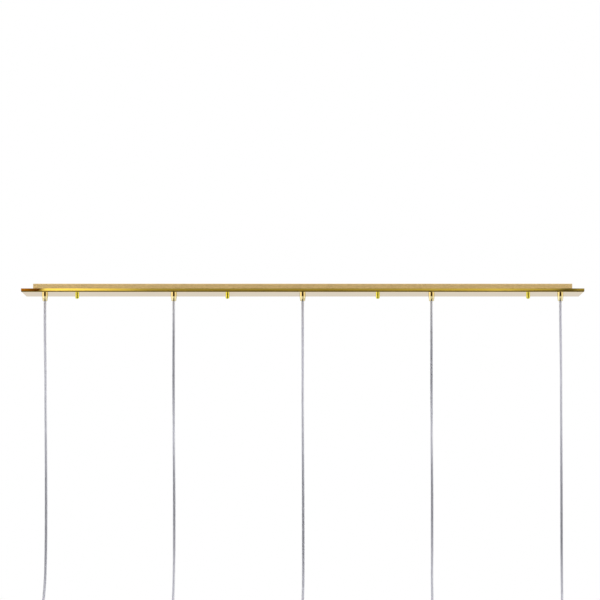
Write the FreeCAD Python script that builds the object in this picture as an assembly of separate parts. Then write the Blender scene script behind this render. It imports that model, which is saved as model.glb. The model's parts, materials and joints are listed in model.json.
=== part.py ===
import FreeCAD, Part
import math
import os

# Linear island pendant: a long two-tier ceiling canopy with five lampholders on straight clear cords.
# Millimetres. The ceiling is the plane Z = 0, X runs along the canopy, Y across it (the front is -Y),
# and everything hangs towards -Z. The origin is the middle of the housing's ceiling face.

# ---- Canopy ----
plate_length = 1300.0
plate_depth = 100.0
plate_lip = 8.0             # underside of the plate to the rim of its upturned lip
plate_sheet = 1.2
plate_bend = 2.0            # outer radius of the folds
housing_length = 1250.0
housing_depth = 50.0
housing_height = 20.8       # ceiling to the top of the plate
housing_sheet = 1.2
housing_bend = 1.5

# ---- Ceiling screws and supply cable ----
slot_width = 5.5
slot_length = 20.0
slot_spacing = 900.0
supply_hole_diameter = 12.0
supply_place = -60.0        # along the canopy, from its middle

# ---- Studs and cap nuts ----
stud_count = 4
stud_pitch = 350.0
stud_diameter = 5.0
stud_reach = 7.5            # how far a stud stands out under the plate
cap_nut_diameter = 9.0
cap_nut_height = 11.0
cap_nut_dome = 2.5
cap_nut_spare = 0.5         # empty thread past the stud's tip

# ---- Pendants ----
pendant_count = 5
pendant_pitch = 300.0
cord_diameter = 6.0
cord_drop = 712.0           # mouth of the grip to the top of the lampholder

# ---- Cord grips ----
collar_diameter = 14.0
collar_height = 5.0
taper_height = 11.0
grip_foot_diameter = 12.0
grip_foot_chamfer = 1.5
stem_diameter = 10.0
stem_proud = 1.0            # stem past its lock nut
lock_nut_flats = 14.0
lock_nut_height = 3.0

# ---- Bend of a cord, a short link between two pivots under the mouth of its grip ----
bend_length = 2.5           # from pivot to pivot
bend_flats = 5.4            # across the flats of the eight-sided link
bend_slope = 27.0           # degrees, of the two faces of the link's lower edge
upper_gap = 0.5             # between the ends at the upper pivot
lower_gap = 0.2             # between the ends at the lower pivot

# ---- Wiring in the housing ----
tail_proud = 1.0            # jacket past the stem
tail_flats = 5.5            # across the flats of the cord's eight-sided tail, which stays inside the grip
connector_length = 14.0
connector_height = 9.0
connector_wall = 3.6        # beside the cable
cable_place = 6.0           # middle of the cable behind the studs
cable_width = 5.4           # flat two-core cable that links the connectors
cable_thickness = 2.4
cable_bite = 10.0           # cable inside the terminal block
channel_play = 0.1          # round a cable or strap in its channel
block_place = 65.0          # along the canopy, from its middle
block_length = 30.0
block_wall = 3.0            # outside the outer poles
block_cover = 3.6           # middle of the cable to the lower face of the block
pole_pitch = 10.0           # middle of the cable to the earth pole
well_width = 4.0
strap_width = 5.0
strap_thickness = 0.8
strap_reach = 16.0          # end of the block to the earth stud
fork_reach = 3.5            # strap past the earth stud
earth_stud_diameter = 4.0
earth_stud_reach = 4.5      # past the strap
earth_nut_flats = 7.0
earth_nut_height = 3.2

# ---- Lampholders ----
holder_diameter = 30.0
holder_height = 40.0
insert_length = 23.0
insert_width = 14.0
insert_height = 16.0
pin_pitch = 9.0
pin_slot_length = 3.0
pin_slot_width = 6.0
pin_slot_depth = 12.0
contact_thickness = 0.8
contact_height = 9.0

# ---- Clearances ----
thread_play = 0.05          # radial, between threads that are screwed together
hole_play = 0.3             # radial, round a stud or a stem in the sheet
cord_play = 0.15            # radial, round a cord in its grip
insert_play = 0.1           # round the insert in its pocket
contact_play = 0.1          # contact to the walls of its slot

# ---- Levels, all below the ceiling ----
web_underside = -housing_sheet
plate_top = -housing_height
plate_underside = plate_top - plate_sheet
collar_foot = plate_underside - collar_height
grip_mouth = collar_foot - taper_height
upper_pivot = grip_mouth - upper_gap / 2
lower_pivot = upper_pivot - bend_length
stem_top = plate_top + lock_nut_height + stem_proud
tail_top = stem_top + tail_proud
cable_level = tail_top + connector_height / 2
holder_top = grip_mouth - cord_drop
holder_rim = holder_top - holder_height

cord_radius = cord_diameter / 2
stem_radius = stem_diameter / 2
stud_radius = stud_diameter / 2
pendant_places = [pendant_pitch * (i - (pendant_count - 1) / 2) for i in range(pendant_count)]
stud_places = [stud_pitch * (i - (stud_count - 1) / 2) for i in range(stud_count)]

Vector = FreeCAD.Vector
UP = Vector(0, 0, 1)


def around(middle, width):
    """The two ends of a span."""
    return (middle - width / 2, middle + width / 2)


def box(x, y, z):
    """A block between the two values given for each direction."""
    return Part.makeBox(x[1] - x[0], y[1] - y[0], z[1] - z[0], Vector(x[0], y[0], z[0]))


def upright(radius, z, x=0.0, y=0.0):
    """A cylinder between two levels."""
    return Part.makeCylinder(radius, z[1] - z[0], Vector(x, y, z[0]), UP)


def turned(outline, x=0.0):
    """A solid of revolution about the vertical line at x. The outline is a closed run of (radius, level)
    points; an entry of two points is an arc through the first one to the second one."""
    edges = []
    here = outline[0]
    for step in outline[1:] + outline[:1]:
        is_arc = isinstance(step[0], tuple)
        there = step[1] if is_arc else step
        start, end = (Vector(x + r, 0, z) for r, z in (here, there))
        if is_arc:
            through = Vector(x + step[0][0], 0, step[0][1])
            edges.append(Part.Arc(start, through, end).toShape())
        else:
            edges.append(Part.LineSegment(start, end).toShape())
        here = there
    return Part.Face(Part.Wire(edges)).revolve(Vector(x, 0, 0), UP, 360)


def prism(sides, flats, z, x=0.0, y=0.0):
    """An upright bar with a regular section, with two of its flats towards the front and the back."""
    corner = flats / 2 / math.cos(math.pi / sides)
    turns = [2 * math.pi * (k + 0.5) / sides + math.pi / 2 for k in range(sides + 1)]
    points = [Vector(x + corner * math.cos(t), y + corner * math.sin(t), z[0]) for t in turns]
    return Part.Face(Part.makePolygon(points)).extrude(UP * (z[1] - z[0]))


def slot(x, z):
    """The cutter of one ceiling-screw slot, along X."""
    straight = around(x, slot_length - slot_width)
    ends = [upright(slot_width / 2, z, end) for end in straight]
    return box(straight, around(0, slot_width), z).fuse(ends).removeSplitter()


def folded_tray(length, depth, height, sheet, bend):
    """A sheet folded up along all four sides, with welded corners. Its floor lies on Z = 0."""
    def block(inset, radius):
        solid = box(around(0, length - 2 * inset), around(0, depth - 2 * inset), (inset, height))
        folds = [e for e in solid.Edges if e.BoundBox.ZMax < inset + bend / 2]
        return solid.makeFillet(radius, folds)
    return block(0.0, bend).cut(block(sheet, bend - sheet))


# ---- Canopy ----
def face_plate():
    tray = folded_tray(plate_length, plate_depth, plate_lip, plate_sheet, plate_bend)
    tray.translate(UP * plate_underside)
    through = (plate_underside - 1, plate_top + 1)
    stem_holes = [upright(stem_radius + hole_play, through, x) for x in pendant_places]
    stud_holes = [upright(stud_radius + hole_play, through, x) for x in stud_places]
    return tray.cut(stem_holes + stud_holes)


def housing():
    tray = folded_tray(housing_length, housing_depth, housing_height, housing_sheet, housing_bend)
    tray.rotate(Vector(0, 0, 0), Vector(1, 0, 0), 180)
    through = (web_underside - 1, 1)
    slots = [slot(x, through) for x in around(0, slot_spacing)]
    return tray.cut(slots + [upright(supply_hole_diameter / 2, through, supply_place)])


def mounting_stud(x):
    return upright(stud_radius, (plate_underside - stud_reach, web_underside), x)


def cap_nut(x):
    """A blind nut whose end is part of a ball."""
    radius = cap_nut_diameter / 2
    foot = plate_underside - cap_nut_height
    ball = (radius ** 2 + cap_nut_dome ** 2) / (2 * cap_nut_dome)
    halfway = math.asin(radius / ball) / 2
    on_dome = (ball * math.sin(halfway), foot + ball * (1 - math.cos(halfway)))
    bore = stud_radius + thread_play
    bore_end = plate_underside - stud_reach - cap_nut_spare
    return turned([
        (bore, plate_underside), (radius, plate_underside), (radius, foot + cap_nut_dome),
        (on_dome, (0, foot)), (0, bore_end), (bore, bore_end),
    ], x)


# ---- Cord grips ----
def cord_grip(x):
    """A threaded stem, a collar under the plate and a tapered body, turned in one piece."""
    bore = cord_radius + cord_play
    collar = collar_diameter / 2
    foot = grip_foot_diameter / 2
    return turned([
        (bore, stem_top), (stem_radius, stem_top), (stem_radius, plate_underside), (collar, plate_underside),
        (collar, collar_foot), (foot, grip_mouth + grip_foot_chamfer), (foot - grip_foot_chamfer, grip_mouth),
        (bore, grip_mouth),
    ], x)


def lock_nut(x):
    z = (plate_top, plate_top + lock_nut_height)
    return prism(6, lock_nut_flats, z, x).cut(upright(stem_radius + thread_play, z, x))


# ---- Cords: a fixed tail, the bend and the hanging length ----
def cord_tail(x):
    return prism(8, tail_flats, (grip_mouth, tail_top), x)


def cord_bend(x):
    """Its lower end is an edge along X, which leaves the cord under it room to swing across."""
    edge = lower_pivot + lower_gap / 2
    top = upper_pivot - upper_gap / 2
    side = cord_radius
    shoulder = edge + side * math.tan(math.radians(bend_slope))
    outline = [(0, edge), (side, shoulder), (side, top), (-side, top), (-side, shoulder), (0, edge)]
    wedge = Part.Face(Part.makePolygon([Vector(x - side, y, z) for y, z in outline]))
    return prism(8, bend_flats, (edge, top), x).common(wedge.extrude(Vector(2 * side, 0, 0)))


def cord(x):
    return upright(cord_radius, (holder_top, lower_pivot - lower_gap / 2), x)


# ---- Wiring in the housing ----
cable_y = around(cable_place, cable_width)
cable_z = around(cable_level, cable_thickness)
block_x = around(block_place, block_length)
pole_place = cable_place + pole_pitch
strap_y = around(pole_place, strap_width)
stud_x = block_x[1] + strap_reach


def channel(x, y):
    """The cutter of a channel along X for what lies at the level of the cable, with some play round it."""
    y, z = ((low - channel_play, high + channel_play) for low, high in (y, cable_z))
    return box(x, y, z)


def splice_connector(x):
    """A block on the end of the cord's jacket, with the flat cable through it."""
    ends = around(x, connector_length)
    sides = (-cord_radius, cable_y[1] + connector_wall)
    return box(ends, sides, (tail_top, tail_top + connector_height)).cut(channel(ends, cable_y))


def run_cable():
    """Flat two-core cable, from the outer connectors to each end of the terminal block."""
    left = (pendant_places[0] - connector_length / 2, block_x[0] + cable_bite)
    right = (block_x[1] - cable_bite, pendant_places[-1] + connector_length / 2)
    return [box(x, cable_y, cable_z) for x in (left, right)]


def terminal_block():
    """A block under the housing's web, with screw wells over the cable ends and the earth pole."""
    foot = cable_level - block_cover
    wells = (foot, cable_level)
    cuts = [channel(block_x, cable_y), channel(block_x, strap_y)]
    for x in (block_x[0] + cable_bite / 2, block_x[1] - cable_bite / 2):
        cuts += [box(around(x, well_width), around(y, well_width), wells) for y in (cable_place, pole_place)]
    return box(block_x, (cable_y[0] - block_wall, strap_y[1] + block_wall), (foot, web_underside)).cut(cuts)


def earth_strap():
    """A flat strap from the earth pole, forked round the earth stud."""
    section = (cable_z[0], cable_z[0] + strap_thickness)
    strap = box((block_x[1] - cable_bite, stud_x + fork_reach), strap_y, section)
    gap = earth_stud_diameter + 2 * thread_play
    return strap.cut(box((stud_x - gap / 2, stud_x + fork_reach), around(pole_place, gap), section))


def earth_stud():
    foot = cable_z[0] - earth_stud_reach
    return upright(earth_stud_diameter / 2, (foot, web_underside), stud_x, pole_place)


def earth_nut():
    z = (cable_z[0] - earth_nut_height, cable_z[0])
    bore = upright(earth_stud_diameter / 2 + thread_play, z, stud_x, pole_place)
    return prism(6, earth_nut_flats, z, stud_x, pole_place).cut(bore)


# ---- Lampholders ----
def lampholder(x):
    """A turned body that hangs from the end of the cord, with a pocket for the insert."""
    body = upright(holder_diameter / 2, (holder_rim, holder_top), x)
    length = insert_length + 2 * insert_play
    width = insert_width + 2 * insert_play
    return body.cut(box(around(x, length), around(0, width), (holder_rim, holder_rim + insert_height)))


def lampholder_insert(x):
    """The ceramic block, flush with the rim, with a slot for each pin of the lamp."""
    body = box(around(x, insert_length), around(0, insert_width), (holder_rim, holder_rim + insert_height))
    depth = (holder_rim, holder_rim + pin_slot_depth)
    slots = [box(around(middle, pin_slot_length), around(0, pin_slot_width), depth)
             for middle in around(x, pin_pitch)]
    return body.cut(slots)


def lampholder_contacts(x):
    """One spring leaf at the outer wall of each slot."""
    top = holder_rim + pin_slot_depth - contact_play
    half = pin_slot_width / 2 - contact_play
    leaves = []
    for side in (-1, 1):
        wall = x + side * (pin_pitch / 2 + pin_slot_length / 2 - contact_play)
        ends = sorted((wall - side * contact_thickness, wall))
        leaves.append(box(ends, (-half, half), (top - contact_height, top)))
    return leaves


def save(node, shapes):
    """Writes one node from one solid or from a group of separate solids."""
    shapes = shapes if isinstance(shapes, list) else [shapes]
    shape = shapes[0] if len(shapes) == 1 else Part.makeCompound(shapes)
    print(f"{node}: {len(shape.Solids)} solids, {shape.Volume / 1000:.2f} cm3, valid {shape.isValid()}")
    shape.exportStep(f"parts/{node}.step")


os.makedirs("parts", exist_ok=True)
save("face_plate", face_plate())
save("housing", housing())
save("mounting_studs", [mounting_stud(x) for x in stud_places])
save("cap_nuts", [cap_nut(x) for x in stud_places])
save("cord_grips", [cord_grip(x) for x in pendant_places])
save("grip_lock_nuts", [lock_nut(x) for x in pendant_places])
save("cord_tails", [cord_tail(x) for x in pendant_places])
save("splice_connectors", [splice_connector(x) for x in pendant_places])
save("run_cable", run_cable())
save("terminal_block", terminal_block())
save("earth_strap", earth_strap())
save("earth_stud", earth_stud())
save("earth_nut", earth_nut())
for number, x in enumerate(pendant_places, 1):
    save(f"cord_bend_{number}", cord_bend(x))
    save(f"cord_{number}", cord(x))
    save(f"lampholder_{number}", lampholder(x))
    save(f"lampholder_insert_{number}", lampholder_insert(x))
    save(f"lampholder_contacts_{number}", lampholder_contacts(x))

hanging = lower_pivot - lower_gap / 2 - holder_top
section = math.pi * cord_radius ** 2
print(f"hanging cord: one straight run of {hanging:.1f} mm with no bend, {hanging * section / 1000:.2f} cm3")
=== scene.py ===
import json
import math

import bmesh
import bpy
from mathutils import Matrix, Vector

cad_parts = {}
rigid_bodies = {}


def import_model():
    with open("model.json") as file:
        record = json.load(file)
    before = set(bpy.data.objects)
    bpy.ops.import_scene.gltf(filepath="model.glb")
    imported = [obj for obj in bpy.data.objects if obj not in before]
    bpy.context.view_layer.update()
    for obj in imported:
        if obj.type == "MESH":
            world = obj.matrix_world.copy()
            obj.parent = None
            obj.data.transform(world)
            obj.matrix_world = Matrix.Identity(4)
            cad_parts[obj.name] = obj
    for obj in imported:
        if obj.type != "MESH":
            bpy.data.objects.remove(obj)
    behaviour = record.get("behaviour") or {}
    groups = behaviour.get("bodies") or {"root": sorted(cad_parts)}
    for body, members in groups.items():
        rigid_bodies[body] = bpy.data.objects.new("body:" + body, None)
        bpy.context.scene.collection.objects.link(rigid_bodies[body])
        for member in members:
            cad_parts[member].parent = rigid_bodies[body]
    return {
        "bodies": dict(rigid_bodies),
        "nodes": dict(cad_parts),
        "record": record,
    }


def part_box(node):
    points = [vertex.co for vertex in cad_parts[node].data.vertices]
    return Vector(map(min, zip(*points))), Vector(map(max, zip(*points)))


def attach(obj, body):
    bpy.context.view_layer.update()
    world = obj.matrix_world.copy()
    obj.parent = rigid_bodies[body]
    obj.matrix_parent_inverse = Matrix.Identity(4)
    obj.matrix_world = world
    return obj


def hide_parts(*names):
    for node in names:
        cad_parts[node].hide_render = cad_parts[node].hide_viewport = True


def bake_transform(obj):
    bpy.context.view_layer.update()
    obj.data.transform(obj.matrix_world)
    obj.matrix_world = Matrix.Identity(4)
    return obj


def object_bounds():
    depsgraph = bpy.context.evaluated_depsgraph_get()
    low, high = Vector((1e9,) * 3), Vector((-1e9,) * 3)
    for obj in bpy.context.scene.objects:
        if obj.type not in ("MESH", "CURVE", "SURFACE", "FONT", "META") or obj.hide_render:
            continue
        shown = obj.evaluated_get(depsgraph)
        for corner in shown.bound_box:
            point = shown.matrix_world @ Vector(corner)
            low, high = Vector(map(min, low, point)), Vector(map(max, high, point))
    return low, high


# A linear island pendant. Metres, in the model's frame: +X along the canopy, the front is -Y, +Z is up,
# and the ceiling is Z = 0. Outlines are drawn in millimetres, and MM turns millimetres into metres.
MM = 0.001
sharp_angle = math.radians(28)          # faces that meet at more than this have an edge between them

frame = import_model()
cad_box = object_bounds()
pendants = sorted(int(name[-1]) for name in frame["bodies"] if name.startswith("pendant_"))


def span(node):
    """The lowest and highest corner of a node of the model, and its middle."""
    low, high = (Vector(corner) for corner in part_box(node))
    return low, high, (low + high) / 2


cord_x = {number: span(f"cord_{number}")[2].x for number in pendants}


# ---- Camera: a long lens below the canopy, looking slightly up, with the picture shifted ----
camera_place = (-0.0062, -5.3466, -0.6211)
camera_tilt = math.radians(2.975)
camera_lens = 138.36
camera_shift = 0.22

camera_data = bpy.data.cameras.new("camera")
camera_data.lens = camera_lens
camera_data.sensor_width = 36
camera_data.shift_y = camera_shift
camera_data.clip_end = 100
camera = bpy.data.objects.new("camera", camera_data)
camera.location = camera_place
camera.rotation_euler = (math.pi / 2 + camera_tilt, 0, 0)
bpy.context.collection.objects.link(camera)
bpy.context.scene.camera = camera
bpy.context.scene.view_settings.view_transform = "Standard"


# ---- Materials ----
def set_sockets(node, values):
    """Sets a node's sockets from a dictionary, in whose names _ stands for a space."""
    for socket, value in values.items():
        node.inputs[socket.replace("_", " ")].default_value = value


def fill_ramp(node, stops):
    """Gives a colour ramp its stops: places from 0 to 1 with a colour or a grey level each."""
    for place, _ in stops[2:]:
        node.color_ramp.elements.new(place)
    for end, (place, value) in zip(node.color_ramp.elements, stops):
        end.position = place
        end.color = (*value, 1) if isinstance(value, tuple) else (value, value, value, 1)


class Shader:
    """A material with one Principled shader, and short ways to add nodes to it."""

    def __init__(self, name, **values):
        self.material = bpy.data.materials.new(name)
        self.material.use_nodes = True
        self.tree = self.material.node_tree
        self.main = self.tree.nodes["Principled BSDF"]
        set_sockets(self.main, values)

    def add(self, kind, **values):
        """Adds a node with values for its sockets."""
        node = self.tree.nodes.new(kind)
        set_sockets(node, values)
        return node

    def join(self, source, target):
        self.tree.links.new(source, target)

    def noise(self, scale, stretch=(1, 1, 1), detail=2):
        """Noise in the object's own coordinates, drawn out by the three stretch factors."""
        place = self.add("ShaderNodeTexCoord")
        mapping = self.add("ShaderNodeMapping", Scale=stretch)
        texture = self.add("ShaderNodeTexNoise", Scale=scale, Detail=detail)
        self.join(place.outputs["Object"], mapping.inputs["Vector"])
        self.join(mapping.outputs["Vector"], texture.inputs["Vector"])
        return texture.outputs["Fac"]

    def ramp(self, source, low, high, target):
        """Spreads a value from 0.3 to 0.7 over two numbers or colours, into a socket."""
        ramp = self.add("ShaderNodeValToRGB")
        fill_ramp(ramp, ((0.3, low), (0.7, high)))
        self.join(source, ramp.inputs["Fac"])
        self.join(ramp.outputs["Color"], target)

    def tint(self, source, low, high):
        """Spreads a value over two base colours."""
        self.ramp(source, low, high, self.main.inputs["Base Color"])

    def gloss(self, source, low, high):
        """Spreads a value over two roughnesses."""
        self.ramp(source, low, high, self.main.inputs["Roughness"])

    def bump(self, source, depth):
        """Relief of a depth in metres."""
        bump = self.add("ShaderNodeBump", Distance=depth, Strength=1.0)
        self.join(source, bump.inputs["Height"])
        self.join(bump.outputs["Normal"], self.main.inputs["Normal"])


def polished_metal(name, low, high, waves=0, rough=(0.004, 0.012)):
    """Mirror-polished plate metal with faint smears, and slow waves for a depth in metres."""
    shader = Shader(name, Metallic=1.0)
    shader.tint(shader.noise(9, (1, 2, 2), 4), low, high)
    shader.gloss(shader.noise(45, (1, 3, 3), 5), *rough)
    if waves:
        shader.bump(shader.noise(5, (1, 3, 3), 1), waves)
    return shader.material


def satin_metal(name, low, high, grain_depth, rough=(0.34, 0.46)):
    """Blasted metal: a fine even grain in its colour, gloss and relief."""
    shader = Shader(name, Metallic=1.0)
    grain = shader.noise(420, detail=6)
    shader.tint(grain, low, high)
    shader.gloss(grain, *rough)
    shader.bump(shader.noise(1300, detail=3), grain_depth)
    return shader.material


def moulded_plastic(name, low, high):
    """Plastic with an even gloss and the fine texture of its mould."""
    shader = Shader(name, Roughness=0.45)
    shader.tint(shader.noise(60), low, high)
    shader.bump(shader.noise(1800, detail=3), 0.00004)
    return shader.material


def fired_ceramic(name):
    """Unglazed white ceramic."""
    shader = Shader(name, Roughness=0.62)
    shader.tint(shader.noise(350, detail=4), (0.74, 0.72, 0.67), (0.86, 0.85, 0.81))
    shader.bump(shader.noise(2600, detail=4), 0.00006)
    return shader.material


def clear_plastic(name):
    """The soft clear jacket of a cord, with faint drawing lines along it."""
    shader = Shader(name, Transmission_Weight=1.0, IOR=1.42)
    shader.tint(shader.noise(70, (6, 6, 1), 3), (0.76, 0.76, 0.79), (0.84, 0.84, 0.86))
    shader.gloss(shader.noise(300, (4, 4, 1), 2), 0.06, 0.16)
    return shader.material


def stranded_metal_painted_shade(name, stretches):
    """A tinned conductor whose fine strands run along it, with painted light and shade in its colour:
    brighter and darker stretches down it stand for the light that it catches as the pair turns. The stretches
    are levels in metres with a painted brightness each, from the top down."""
    lowest = -0.8               # a level below all stretches
    blue = 1.06                 # the metal is this much stronger in blue
    shader = Shader(name, Metallic=1.0)
    place = shader.add("ShaderNodeTexCoord")
    split = shader.add("ShaderNodeSeparateXYZ")
    down = shader.add("ShaderNodeMapRange", From_Min=0.0, From_Max=lowest)
    ramp = shader.add("ShaderNodeValToRGB")
    # Painted light and shade: the conductor's colour is brighter or darker by level down the cord.
    fill_ramp(ramp, [(level / lowest, (light, light, light * blue)) for level, light in stretches])
    mix = shader.add("ShaderNodeMix")
    mix.data_type = "RGBA"
    mix.blend_type = "MULTIPLY"
    mix.inputs["Factor"].default_value = 1.0
    shader.join(place.outputs["Object"], split.inputs["Vector"])
    shader.join(split.outputs["Z"], down.inputs["Value"])
    shader.join(down.outputs["Result"], ramp.inputs["Fac"])
    shader.join(ramp.outputs["Color"], mix.inputs["A"])
    shader.ramp(shader.noise(900, (6, 6, 0.25), 3), 0.82, 1.0, mix.inputs["B"])
    shader.join(mix.outputs["Result"], shader.main.inputs["Base Color"])
    shader.gloss(shader.noise(500, (1, 1, 0.3), 2), 0.32, 0.5)
    shader.bump(shader.noise(1600, (5, 5, 0.2), 2), 0.00005)
    return shader.material


polished_gold = polished_metal("polished_gold", (0.91, 0.62, 0.09), (0.98, 0.70, 0.12), waves=0.000006)
polished_brass = polished_metal("polished_brass", (0.98, 0.82, 0.42), (1.0, 0.87, 0.48), rough=(0.01, 0.03))
lemon_brass = polished_metal("lemon_brass", (0.99, 0.92, 0.12), (1.0, 0.97, 0.18), rough=(0.08, 0.13))
gold_aluminium = polished_metal("gold_aluminium", (0.90, 0.66, 0.24), (0.97, 0.74, 0.30), rough=(0.22, 0.30))
satin_gold = satin_metal("satin_gold", (0.72, 0.52, 0.235), (0.84, 0.63, 0.30), 0.00003)
zinc_steel = satin_metal("zinc_steel", (0.55, 0.57, 0.58), (0.70, 0.71, 0.72), 0.00003)
contact_metal = satin_metal("contact_metal", (0.72, 0.55, 0.26), (0.85, 0.68, 0.36), 0.00001, (0.22, 0.34))
white_plastic = moulded_plastic("white_plastic", (0.76, 0.76, 0.73), (0.84, 0.84, 0.81))
cable_sheath = moulded_plastic("cable_sheath", (0.58, 0.58, 0.57), (0.66, 0.66, 0.65))
ceramic = fired_ceramic("ceramic")
clear_jacket = clear_plastic("clear_jacket")
# The cords at the ends and in the middle lie one way, the two between them another. Each way has its own
# painted light and shade: levels down the cord with a painted brightness each.
even_strands_painted_shade = stranded_metal_painted_shade("even_strands_painted_shade", (
    (-0.04, 0.98), (-0.22, 0.96), (-0.30, 0.86), (-0.38, 0.80), (-0.46, 0.67), (-0.54, 0.60), (-0.60, 0.61),
    (-0.66, 0.78), (-0.74, 0.98)))
crossed_strands_painted_shade = stranded_metal_painted_shade("crossed_strands_painted_shade", (
    (-0.04, 0.79), (-0.12, 0.66), (-0.22, 0.65), (-0.28, 0.80), (-0.35, 0.94), (-0.42, 0.72), (-0.50, 0.60),
    (-0.58, 0.68), (-0.66, 0.88), (-0.74, 0.98)))

finishes = {
    "polished_gold": polished_gold,
    "satin_gold": satin_gold,
    "polished_brass": polished_brass,
    "gold_aluminium": gold_aluminium,
    "zinc_steel": zinc_steel,
    "contact_metal": contact_metal,
    "connector_plastic": white_plastic,
    "cable_sheath": cable_sheath,
    "ceramic": ceramic,
    "clear_cord": clear_jacket,
}
for part in frame["record"]["subparts"]:
    for holder in frame["nodes"][part["node"]].material_slots:
        holder.material = finishes[part["material_slot"]]


# ---- Building pieces ----
def piece(name, bm, material, body, bevel=0.0, replaces=()):
    """Makes an object of a bmesh, smooth but for its sharp edges, and lets it ride on a body."""
    bmesh.ops.recalc_face_normals(bm, faces=bm.faces)
    mesh = bpy.data.meshes.new(name)
    bm.to_mesh(mesh)
    bm.free()
    mesh.materials.append(material)
    mesh.shade_smooth()
    mesh.set_sharp_from_angle(angle=sharp_angle)
    made = bpy.data.objects.new(name, mesh)
    bpy.context.collection.objects.link(made)
    if bevel:
        round_off = made.modifiers.new("round", "BEVEL")
        round_off.width = bevel
        round_off.segments = 3
        round_off.angle_limit = sharp_angle
        round_off.harden_normals = True
    if body:
        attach(made, body)
    if replaces:
        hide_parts(*replaces)
    return made


def add_ring(bm, centre, radius, steps):
    """Adds the corners of a level ring, with its radius in metres."""
    turns = (2 * math.pi * k / steps for k in range(steps))
    return [bm.verts.new(centre + radius * Vector((math.cos(t), math.sin(t), 0))) for t in turns]


def turn(bm, outline, place, steps=72, closed=True):
    """Adds an outline of (radius, level) points in millimetres, turned about the upright line at place."""
    rings = []
    for radius, level in outline:
        centre = Vector(place) + Vector((0, 0, level * MM))
        rings.append(add_ring(bm, centre, radius * MM, steps) if radius else [bm.verts.new(centre)])
    for lower, upper in zip(rings, rings[1:] + rings[:1] if closed else rings[1:]):
        for k in range(steps):
            corners = [lower[k % len(lower)], lower[(k + 1) % len(lower)],
                       upper[(k + 1) % len(upper)], upper[k % len(upper)]]
            corners = list(dict.fromkeys(corners))      # a ring of one corner makes triangles
            if len(corners) > 2:
                bm.faces.new(corners)
    return rings


def arc(centre, radius, start, end, steps=8):
    """Points of an arc in an outline, in degrees from the outward direction."""
    angles = (math.radians(start + (end - start) * k / steps) for k in range(steps + 1))
    return [(centre[0] + radius * math.cos(a), centre[1] + radius * math.sin(a)) for a in angles]


# A small socket screw, in millimetres.
screw_radius = 1.5
screw_length = 2.0
socket_radius = 0.75
socket_depth = 1.6


def set_screw(bm, seat, surface, towards):
    """Adds a socket screw to a bmesh: seat is on the axis of the piece that holds it, surface how far
    out its face stands in millimetres, and towards its direction in degrees."""
    screw = bmesh.new()
    turn(screw, [
        (0, -socket_depth), (socket_radius, -socket_depth), (socket_radius, 0),
        (screw_radius, 0), (screw_radius, -screw_length), (0, -screw_length),
    ], (0, 0, 0), 36)
    out = (Matrix.Translation(seat) @ Matrix.Rotation(math.radians(towards), 4, "Z")
           @ Matrix.Translation((surface * MM, 0, 0)) @ Matrix.Rotation(math.pi / 2, 4, "Y"))
    bmesh.ops.transform(screw, matrix=out, verts=screw.verts)
    loose = bpy.data.meshes.new("loose")
    screw.to_mesh(loose)
    screw.free()
    bm.from_mesh(loose)
    bpy.data.meshes.remove(loose)


def pocket(bm, ring, low, high):
    """Closes a turned ring with a flat face that has a square pocket in it, between two corners."""
    corners = ((low.x, low.y), (high.x, low.y), (high.x, high.y), (low.x, high.y))
    mouth_corners, roof = ([bm.verts.new((x, y, z)) for x, y in corners] for z in (low.z, high.z))
    edges = [bm.edges.new((mouth_corners[k - 1], mouth_corners[k])) for k in range(4)]
    edges += [bm.edges.get((ring[k - 1], ring[k])) for k in range(len(ring))]
    bmesh.ops.triangle_fill(bm, use_beauty=True, edges=edges)
    for k in range(4):
        bm.faces.new([mouth_corners[k - 1], mouth_corners[k], roof[k], roof[k - 1]])
    bm.faces.new(roof)


# ---- Cap nuts under the plate: straight sides and a shallow domed end ----
nut_low, nut_high, _ = span("cap_nuts")
nut_count = 4
nut_radius = 4.5
nut_dome = 2.5
nut_pitch = (nut_high.x - nut_low.x - 2 * nut_radius * MM) / (nut_count - 1)
nut_foot = -(nut_high.z - nut_low.z) / MM
ball = (nut_radius ** 2 + nut_dome ** 2) / (2 * nut_dome)       # the radius of the dome
reach = math.degrees(math.asin(nut_radius / ball))
dome = arc((0, nut_foot + ball), ball, -90 + reach, -90, 12)

bm = bmesh.new()
for number in range(nut_count):
    place = (nut_low.x + nut_radius * MM + number * nut_pitch, 0, nut_high.z)
    turn(bm, [(0, 0), (nut_radius, 0), *dome[:-1], (0, nut_foot)], place)
piece("cap_nut_set", bm, lemon_brass, "canopy", 0.3 * MM, ["cap_nuts"])

# ---- Cord grips: collar, groove, tapered body with a rounded foot, and the stem above ----
collar_radius = 7.0
collar_height = 5.0
foot_radius = 6.0
foot_rounding = 1.6
foot_slope = 0.25               # the taper is a little steeper than a line to the foot's full radius
bore_radius = 3.15
bore_chamfer = 0.5
groove = 0.35
stem_radius = 5.0
plate_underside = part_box("face_plate")[0][2]
grip_low, grip_high, _ = span("cord_grips")
mouth = (grip_low.z - plate_underside) / MM
stem_top = (grip_high.z - plate_underside) / MM
rounding = arc((foot_radius - foot_slope - foot_rounding, mouth + foot_rounding), foot_rounding, -7, -90)

bm = bmesh.new()
for number in pendants:
    turn(bm, [
        (bore_radius, stem_top), (stem_radius, stem_top), (stem_radius, 0), (collar_radius, 0),
        (collar_radius, -collar_height + groove), (collar_radius - groove, -collar_height),
        (collar_radius, -collar_height - groove), *rounding,
        (bore_radius + bore_chamfer, mouth), (bore_radius, mouth + bore_chamfer),
    ], (cord_x[number], 0, plate_underside))
piece("cord_grip_set", bm, polished_brass, "canopy", 0.15 * MM, ["cord_grips"])

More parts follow.
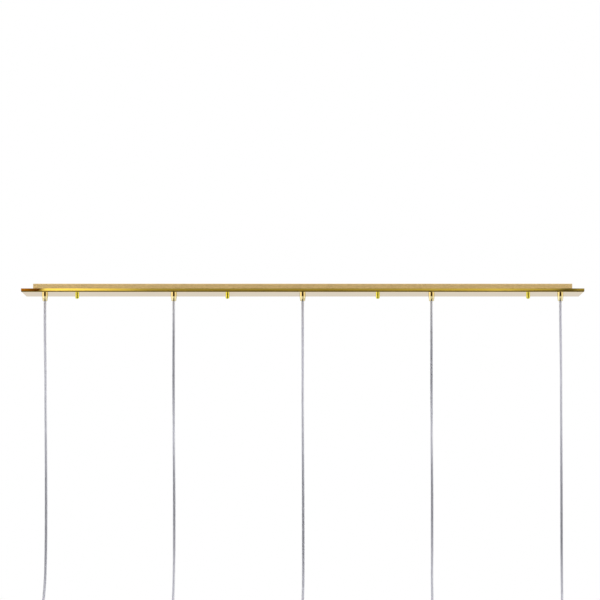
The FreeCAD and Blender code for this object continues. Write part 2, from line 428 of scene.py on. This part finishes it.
# ---- Grub screw in the side of each grip, turned to a side of its own ----
grub_rise = 4.6                 # its middle above the grip's mouth
grub_face = 6.65                # its face from the grip's axis
grub_turns = {1: -112, 2: -95, 3: -58, 4: -70, 5: -90}
bm = bmesh.new()
for number in pendants:
    seat = Vector((cord_x[number], 0, plate_underside + (mouth + grub_rise) * MM))
    set_screw(bm, seat, grub_face, grub_turns[number])
piece("grip_grub_screws", bm, contact_metal, "canopy", 0.12 * MM)

# ---- Lampholders: a turned cup with a collar round the cord, a joint line, and a pocket for the insert ----
cup_radius = 15.0
cup_shoulder = 3.0
cup_lip = 0.8
cup_top = -0.8                  # the cup's top face, under its collar round the cord
cup_collar = ((0, -1.5), (3.05, -1.5), (3.05, 0), (4.9, 0), (5.3, cup_top))
cup_joint = ((cup_radius, -13), (cup_radius - 0.4, -13.4), (cup_radius, -13.8))
cup_screw_level = -7.5
cup_screw_face = 14.7
pocket_play = Vector((0.1, 0.1, 0)) * MM
pocket_headroom = Vector((0, 0, 0.2)) * MM
shoulder = arc((cup_radius - cup_shoulder, cup_top - cup_shoulder), cup_shoulder, 90, 0, 8)
for number in pendants:
    low, high, middle = span(f"lampholder_{number}")
    insert_low, insert_high, _ = span(f"lampholder_insert_{number}")
    rim = (low.z - high.z) / MM
    lip = arc((cup_radius - cup_lip, rim + cup_lip), cup_lip, 0, -90, 5)
    cup = bmesh.new()
    rings = turn(cup, [*cup_collar, *shoulder, *cup_joint, *lip], (middle.x, 0, high.z), 96, closed=False)
    pocket(cup, rings[-1], insert_low - pocket_play, insert_high + pocket_play + pocket_headroom)
    set_screw(cup, Vector((middle.x, 0, high.z + cup_screw_level * MM)), cup_screw_face, 90)
    piece(f"lampholder_cup_{number}", cup, gold_aluminium, f"pendant_{number}", 0.2 * MM,
          [f"lampholder_{number}"])

# ---- Cords: one clear jacket each, with a slowly twisted pair of tinned conductors inside ----
cord_radius = 3.0 * MM
conductor_radius = 1.2 * MM
conductor_offset = 1.25 * MM
pair_aside = -0.25 * MM         # the pair lies a little left of the jacket's middle
twist_pitch = {1: 1.12, 2: 0.64, 3: 1.12, 4: 0.64, 5: 1.06}
twist_start = {1: 22, 2: -80, 3: 22, 4: -84, 5: 12}     # degrees, at the top
strands_of = {1: even_strands_painted_shade, 2: crossed_strands_painted_shade, 3: even_strands_painted_shade, 4: crossed_strands_painted_shade, 5: even_strands_painted_shade}
# How far each cord stands aside in millimetres, at four levels in metres: the slight set of its packing.
set_levels = (-0.25, -0.45, -0.60, -0.69)
cord_set = {
    1: (2.6, 5.0, 5.6, 4.2),
    2: (-0.3, 2.0, 2.5, 2.0),
    3: (0.1, 1.0, 1.3, 1.4),
    4: (-0.9, 0.2, -0.3, -0.6),
    5: (0.9, 0.2, -0.4, -0.4),
}
upright_top = 0.05              # the lengths that hang upright at the grip and at the lampholder
upright_foot = 0.015
neck_in_bore = 0.6 * MM
tail_gap = 0.5 * MM             # between the neck and the fixed tail, so that the neck can tilt
jacket_steps = 44
conductor_steps = 16


def cord_route(number):
    """The cord's own points, from its grip to its lampholder."""
    low, high, _ = span(f"cord_{number}")
    x = cord_x[number]
    bowed = [(x + aside * MM, 0, level) for aside, level in zip(cord_set[number], set_levels)]
    return [(x, 0, high.z), (x, 0, high.z - upright_top), *bowed, (x, 0, low.z + upright_foot), (x, 0, low.z)]


def spline_object(name, route):
    """An open, smooth line through a route."""
    data = bpy.data.curves.new(name, "CURVE")
    data.dimensions = "3D"
    data.resolution_u = 12
    line = data.splines.new("NURBS")
    line.points.add(len(route) - 1)
    for point, place in zip(line.points, route):
        point.co = (*place, 1)
    line.order_u = 3
    line.use_endpoint_u = True
    made = bpy.data.objects.new(name, data)
    bpy.context.collection.objects.link(made)
    return made


def line_points(number):
    """Points read from the cord's own smooth line."""
    bare = spline_object("bare_line", cord_route(number))
    mesh = bpy.data.meshes.new_from_object(bare)
    points = [vertex.co.copy() for vertex in mesh.vertices]
    bpy.data.objects.remove(bare)
    bpy.data.meshes.remove(mesh)
    return points


def upright_points(x, top, foot, count):
    """Points down an upright line."""
    return [Vector((x, 0, top + (foot - top) * k / count)) for k in range(count + 1)]


def tube(bm, points, radius, steps, ends=True):
    """Adds a round tube down a line of points."""
    rings = [add_ring(bm, point, radius, steps) for point in points]
    for lower, upper in zip(rings, rings[1:]):
        for k in range(steps):
            bm.faces.new([lower[k], lower[(k + 1) % steps], upper[(k + 1) % steps], upper[k]])
    if ends:
        bm.faces.new(rings[0])
        bm.faces.new(rings[-1])


def conductors(number, points, top):
    """The pair inside the jacket, wound slowly about its line. It starts at a set angle at the level top."""
    pair = bmesh.new()
    for side in (0, math.pi):
        wound = []
        for p in points:
            angle = math.radians(twist_start[number]) + side + 2 * math.pi * (top - p.z) / twist_pitch[number]
            wound.append(p + Vector((pair_aside, 0, 0))
                         + conductor_offset * Vector((math.cos(angle), math.sin(angle), 0)))
        tube(pair, wound, conductor_radius, conductor_steps)
    return pair


tail_jackets = bmesh.new()
tail_high = span("cord_tails")[1]
for number in pendants:
    cord_high = span(f"cord_{number}")[1]
    x = cord_x[number]
    cord = spline_object(f"clear_cord_{number}", cord_route(number))
    cord.data.bevel_depth = cord_radius
    cord.data.bevel_resolution = 10
    cord.data.materials.append(clear_jacket)
    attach(cord, f"pendant_{number}")
    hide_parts(f"cord_{number}")
    strands = piece(f"conductors_{number}", conductors(number, line_points(number), cord_high.z),
                    strands_of[number], f"pendant_{number}")

    # The bend: the stretch of jacket and conductors at the grip's mouth.
    neck_top = grip_low.z + neck_in_bore
    neck_line = upright_points(x, neck_top, cord_high.z, 8)
    neck = bmesh.new()
    tube(neck, neck_line, cord_radius, jacket_steps, ends=False)
    neck_piece = piece(f"cord_neck_{number}", neck, clear_jacket, None, replaces=[f"cord_bend_{number}"])
    neck_strands = piece(f"neck_conductors_{number}", conductors(number, neck_line, cord_high.z),
                         strands_of[number], None)
    for bent in (neck_piece, neck_strands):
        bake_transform(bent)

    # The fixed tail, through the grip's stem into the housing.
    tail_line = upright_points(x, tail_high.z, neck_top + tail_gap, 6)
    tube(tail_jackets, tail_line, cord_radius, jacket_steps, ends=False)
    piece(f"tail_conductors_{number}", conductors(number, tail_line, cord_high.z),
          strands_of[number], "canopy")
piece("tail_jackets", tail_jackets, clear_jacket, "canopy", replaces=["cord_tails"])


# ---- Studio: white all round for the camera and in reflections, with cards that shape the gloss ----
def stage_plane(name, size, place, turn_to, material, seen_by_camera=False):
    """A flat sheet of the studio. A card that the camera doesn't see shows only in reflections."""
    bm = bmesh.new()
    bmesh.ops.create_grid(bm, x_segments=1, y_segments=1, size=0.5)
    mesh = bpy.data.meshes.new(name)
    bm.to_mesh(mesh)
    bm.free()
    mesh.materials.append(material)
    made = bpy.data.objects.new(name, mesh)
    made.scale = (*size, 1)
    made.location = place
    made.rotation_euler = turn_to
    bpy.context.collection.objects.link(made)
    if not seen_by_camera:
        made.visible_camera = False
        made.visible_transmission = False
        made.visible_diffuse = False
        made.visible_shadow = False


def card_material(name, stops, direction=(1, 0, 0)):
    """A glowing card, with colours at places from 0 to 1 along a direction on it."""
    material = bpy.data.materials.new(name)
    material.use_nodes = True
    tree = material.node_tree
    tree.nodes.clear()
    place = tree.nodes.new("ShaderNodeTexCoord")
    along = tree.nodes.new("ShaderNodeVectorMath")
    along.operation = "DOT_PRODUCT"
    along.inputs[1].default_value = direction
    ramp = tree.nodes.new("ShaderNodeValToRGB")
    fill_ramp(ramp, stops)
    light = tree.nodes.new("ShaderNodeEmission")
    output = tree.nodes.new("ShaderNodeOutputMaterial")
    tree.links.new(place.outputs["Generated"], along.inputs[0])
    tree.links.new(along.outputs["Value"], ramp.inputs["Fac"])
    tree.links.new(ramp.outputs["Color"], light.inputs["Color"])
    tree.links.new(light.outputs["Emission"], output.inputs["Surface"])
    return material


def even_card_material(name, light):
    """A card that glows the same all over."""
    return card_material(name, ((0.0, light), (1.0, light)))


level_turn = (0, 0, 0)
upright_turn = (math.pi / 2, 0, 0)
side_turn = (math.pi / 2, 0, math.pi / 2)

# What the plate's front edge mirrors: places along the plate in metres, and the light that it meets there.
edge_lights = (
    (-0.66, (0.45, 0.22, 0.06)), (-0.624, (0.40, 0.19, 0.05)), (-0.6185, (0.09, 0.04, 0.015)),
    (-0.5985, (0.09, 0.04, 0.015)), (-0.5960, 1.2), (-0.55, 1.25), (-0.46, 0.98), (-0.36, 0.42),
    (-0.24, 0.32), (0.06, 0.34), (0.22, 0.42), (0.34, 0.56), (0.45, 0.66), (0.52, 0.54), (0.585, 0.44),
    (0.610, 0.13), (0.628, 0.13), (0.636, 0.36), (0.66, 0.33),
)
edge_end = 0.67                         # further out on both sides the card is dark
card_width = 10
card_distance = 7
card_foot, card_top = 0.770, 1.3        # what the plate's edge meets; the grips and nuts meet what is lower
card_height = card_top - card_foot
slant = card_height / card_width        # the lights cross the front card at 45 degrees
true_height = 0.01                      # how far above the card's foot they are at their places
plate_front = cad_box[0][1]
mirror_growth = 1 + (card_distance + plate_front) / (plate_front - camera_place[1])
card_middle = 0.5 - slant * true_height / card_height
flank = edge_end * mirror_growth / card_width
front_stops = [
    (0.0, 0.03), (card_middle - flank, 0.03),
    *((card_middle + x * mirror_growth / card_width, light) for x, light in edge_lights),
    (card_middle + flank, 0.03), (1.0, 0.03),
]
stage_plane("front_card", (card_width, card_height), (0, -card_distance, (card_foot + card_top) / 2),
            upright_turn, card_material("front_card", front_stops, (1, -slant, 0)))
stage_plane("high_front_card", (card_width, 3), (0, -card_distance, 2.8), upright_turn,
            card_material("high_front_card", ((0.30, 2.5), (0.43, 0.72), (0.57, 0.72), (0.70, 2.2))))

# Below the front card: name, width, top, foot and light.
bands = (
    ("dark_card", 11.4, card_foot, -0.95, (0.03, 0.012, 0.004)),
    ("middle_card", card_width, -0.95, -1.55, 0.6),
    ("low_front_card", 4, -1.55, -2.0, 0.02),
)
for name, width, top, foot, light in bands:
    stage_plane(name, (width, top - foot), (0, -card_distance, (top + foot) / 2), upright_turn,
                even_card_material(name, light))
stage_plane("under_card", (3.2, 7.2), (0, -3.3, -1.95), level_turn,
            card_material("under_card", ((0.0, 0.02), (1.0, 0.03))))
stage_plane("back_card", (8, 2.2), (0, 8, -1.05), upright_turn,
            even_card_material("back_card", (0.72, 0.74, 0.86)))
for hand, side, wing_light in (("left", -1, 1.25), ("right", 1, 0.95)):
    stage_plane(f"side_card_{hand}", (3.65, 3), (side * 3, 3.425, 0), side_turn,
                even_card_material("side_card", 0.22))
    stage_plane(f"wing_card_{hand}", (12, 3), (side * 9, -3, -0.5), side_turn,
                even_card_material("wing_card", wing_light))


def seen_directly(tree):
    """1 for what the camera sees directly, in a reflection or through the cords, else 0."""
    path = tree.nodes.new("ShaderNodeLightPath")
    seen = path.outputs["Is Camera Ray"]
    for ray in ("Is Glossy Ray", "Is Transmission Ray"):
        most = tree.nodes.new("ShaderNodeMath")
        most.operation = "MAXIMUM"
        tree.links.new(seen, most.inputs[0])
        tree.links.new(path.outputs[ray], most.inputs[1])
        seen = most.outputs["Value"]
    return seen


def studio_world():
    """White where it is seen, and a softer light on the object."""
    world = bpy.data.worlds.new("studio")
    world.use_nodes = True
    tree = world.node_tree
    tree.nodes.clear()
    mix = tree.nodes.new("ShaderNodeMixShader")
    for place, strength in ((1, 0.55), (2, 1.0)):
        background = tree.nodes.new("ShaderNodeBackground")
        background.inputs["Color"].default_value = (1, 1, 1, 1)
        background.inputs["Strength"].default_value = strength
        tree.links.new(background.outputs["Background"], mix.inputs[place])
    output = tree.nodes.new("ShaderNodeOutputWorld")
    tree.links.new(seen_directly(tree), mix.inputs["Fac"])
    tree.links.new(mix.outputs["Shader"], output.inputs["Surface"])
    return world


def floor_material():
    """Pale from above, with a share of white for the camera that still lets the shadow show, and clear
    from below."""
    glow_share = 0.7
    material = bpy.data.materials.new("floor")
    material.use_nodes = True
    tree = material.node_tree
    base = tree.nodes["Principled BSDF"]
    base.inputs["Base Color"].default_value = (0.93, 0.93, 0.93, 1)
    base.inputs["Roughness"].default_value = 0.9
    glow = tree.nodes.new("ShaderNodeEmission")
    glow.inputs["Strength"].default_value = 1.0
    rays = tree.nodes.new("ShaderNodeLightPath")
    share = tree.nodes.new("ShaderNodeMath")
    share.operation = "MULTIPLY"
    share.inputs[1].default_value = glow_share
    pale = tree.nodes.new("ShaderNodeMixShader")
    tree.links.new(rays.outputs["Is Camera Ray"], share.inputs[0])
    tree.links.new(share.outputs["Value"], pale.inputs["Fac"])
    tree.links.new(base.outputs["BSDF"], pale.inputs[1])
    tree.links.new(glow.outputs["Emission"], pale.inputs[2])
    facing = tree.nodes.new("ShaderNodeNewGeometry")
    clear = tree.nodes.new("ShaderNodeBsdfTransparent")
    mix = tree.nodes.new("ShaderNodeMixShader")
    tree.links.new(facing.outputs["Backfacing"], mix.inputs["Fac"])
    tree.links.new(pale.outputs["Shader"], mix.inputs[1])
    tree.links.new(clear.outputs["BSDF"], mix.inputs[2])
    tree.links.new(mix.outputs["Shader"], tree.nodes["Material Output"].inputs["Surface"])
    return material


bpy.context.scene.world = studio_world()
stage_plane("floor", (30, 30), (0, 0, -2.0), level_turn, floor_material(), seen_by_camera=True)


def area_light(name, place, size, power, aim=(0, 0, -0.3)):
    """A soft lamp that isn't itself seen in the metal."""
    data = bpy.data.lights.new(name, "AREA")
    data.size = size
    data.energy = power
    lamp = bpy.data.objects.new(name, data)
    lamp.location = place
    lamp.rotation_euler = (Vector(aim) - Vector(place)).to_track_quat("-Z", "Y").to_euler()
    lamp.visible_glossy = False
    lamp.visible_transmission = False
    bpy.context.collection.objects.link(lamp)


area_light("key", (-2.6, -3.2, 2.6), 2.0, 90)
area_light("fill", (3.0, -2.4, 0.6), 2.5, 40)
area_light("back", (0.5, 3.5, 2.2), 2.0, 50)
